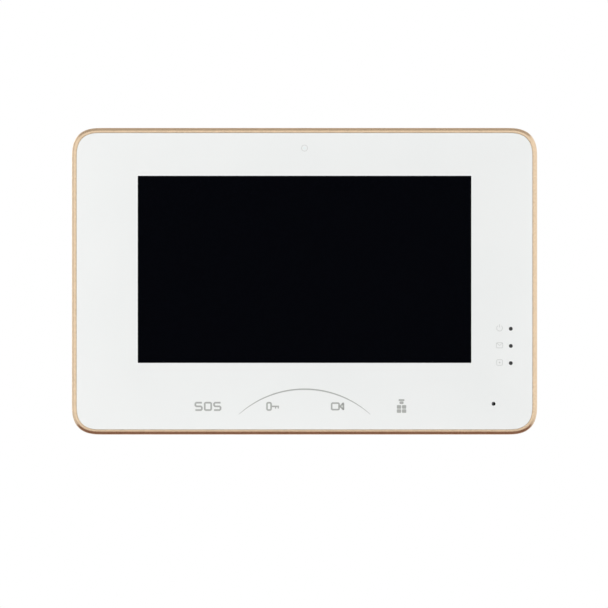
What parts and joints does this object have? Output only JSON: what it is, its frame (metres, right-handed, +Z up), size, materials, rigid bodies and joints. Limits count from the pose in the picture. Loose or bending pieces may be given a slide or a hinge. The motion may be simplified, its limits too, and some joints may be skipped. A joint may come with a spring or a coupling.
{
  "type": "video intercom monitor",
  "caption": "Wall-mounted indoor video intercom monitor: white glass front with a wide screen and touch keys, gold rim, tapered rear cover, hung on a hooked steel wall plate.",
  "frame": {"origin": "the middle of the wall plate's back face, where it lies on the wall; it is also level with the middle of the monitor's outline", "axes": "+X to the viewer's right, +Y into the wall (the monitor's front looks along -Y), +Z up"},
  "size_m": [0.217, 0.0251, 0.143],
  "materials": {
    "printed_glass": "flat polished glass, printed white on its back",
    "screen_glass": "black, glossy",
    "clear_film": "clear film",
    "champagne_gold": "polished champagne gold",
    "white_abs": "fine-textured white ABS",
    "grey_plastic": "satin grey moulding",
    "black_plastic": "matt black moulding",
    "green_plastic": "satin green moulding",
    "clear_acrylic": "clear acrylic",
    "zinc_steel": "zinc-plated steel",
    "nickel_steel": "nickel-plated steel",
    "aluminium": "plain aluminium",
    "ferrite": "dark pressed ferrite",
    "circuit_board": "green solder mask",
    "flex_print": "amber ribbon",
    "foam": "closed-cell foam",
    "rubber": "soft black rubber",
    "paper_cone": "pressed fibre",
    "cable_skin": "PVC lead",
    "emitter": "pale resin"
  },
  "bodies": {
    "wall_plate": {"wall_plate": "zinc_steel"},
    "monitor": {"alarm_header": "black_plastic", "backlight_strip": "emitter", "board_screw_1": "zinc_steel", "board_screw_2": "zinc_steel", "board_screw_3": "zinc_steel", "board_screw_4": "zinc_steel", "capacitor_1": "aluminium", "capacitor_2": "aluminium", "card_socket": "nickel_steel", "case_screw_1": "zinc_steel", "case_screw_2": "zinc_steel", "case_screw_3": "zinc_steel", "case_screw_4": "zinc_steel", "front_frame": "white_abs", "front_glass": "printed_glass", "glass_adhesive": "foam", "gold_trim": "champagne_gold", "heat_sink": "aluminium", "indicator_board": "circuit_board", "key_board": "circuit_board", "key_flex": "flex_print", "key_pad_1": "foam", "key_pad_2": "foam", "key_pad_3": "foam", "key_pad_4": "foam", "lan_jack": "nickel_steel", "lcd_bezel": "nickel_steel", "lcd_cell": "screen_glass", "lcd_flex": "flex_print", "lcd_gasket": "foam", "lcd_tray": "zinc_steel", "led_alarm": "emitter", "led_message": "emitter", "led_power": "emitter", "led_shroud": "black_plastic", "light_guide": "clear_acrylic", "main_board": "circuit_board", "memory_chip": "black_plastic", "mic_boot": "rubber", "microphone": "aluminium", "power_socket": "green_plastic", "processor": "black_plastic", "rear_cover": "white_abs", "reset_switch": "black_plastic", "sensor_board": "circuit_board", "sensor_holder": "black_plastic", "speaker_basket": "zinc_steel", "speaker_gasket": "foam", "speaker_lead": "cable_skin", "speaker_magnet": "ferrite", "support_plate": "zinc_steel", "touch_sensor": "clear_film", "wifi_module": "nickel_steel"},
    "catch": {"lock_catch": "grey_plastic"},
    "reset": {"reset_button": "grey_plastic"},
    "cone": {"speaker_cone": "paper_cone"},
    "plug": {"power_plug": "green_plastic"},
    "clamp_1": {"clamp_screw_1": "nickel_steel"},
    "clamp_2": {"clamp_screw_2": "nickel_steel"}
  },
  "joints": [
    {"name": "monitor_lift", "type": "slide", "parent": "wall_plate", "child": "monitor", "axis": [0, 0, 1], "range_m": [0, 0.007]},
    {"name": "catch_slide", "type": "slide", "parent": "monitor", "child": "catch", "axis": [0, -1, 0], "range_m": [0, 0.0022]},
    {"name": "reset_press", "type": "slide", "parent": "monitor", "child": "reset", "axis": [0, 0, 1], "range_m": [0, 0.0003], "stiffness_N_per_m": 300},
    {"name": "cone_travel", "type": "slide", "parent": "monitor", "child": "cone", "axis": [0, -1, 0], "range_m": [-0.0004, 0.0004], "stiffness_N_per_m": 800},
    {"name": "plug_pull", "type": "slide", "parent": "monitor", "child": "plug", "axis": [0, 0, -1], "range_m": [0, 0.009]},
    {"name": "clamp_turn_1", "type": "hinge", "parent": "plug", "child": "clamp_1", "pos_m": [-0.00504, -0.005, -0.019], "axis": [0, 1, 0], "range_deg": [0, 720]},
    {"name": "clamp_turn_2", "type": "hinge", "parent": "plug", "child": "clamp_2", "pos_m": [0.00004, -0.005, -0.019], "axis": [0, 1, 0], "range_deg": [0, 720]}
  ],
  "couplings": [
    {"joint": "catch_slide", "follows": "monitor_lift", "ratio": 0.3}
  ]
}
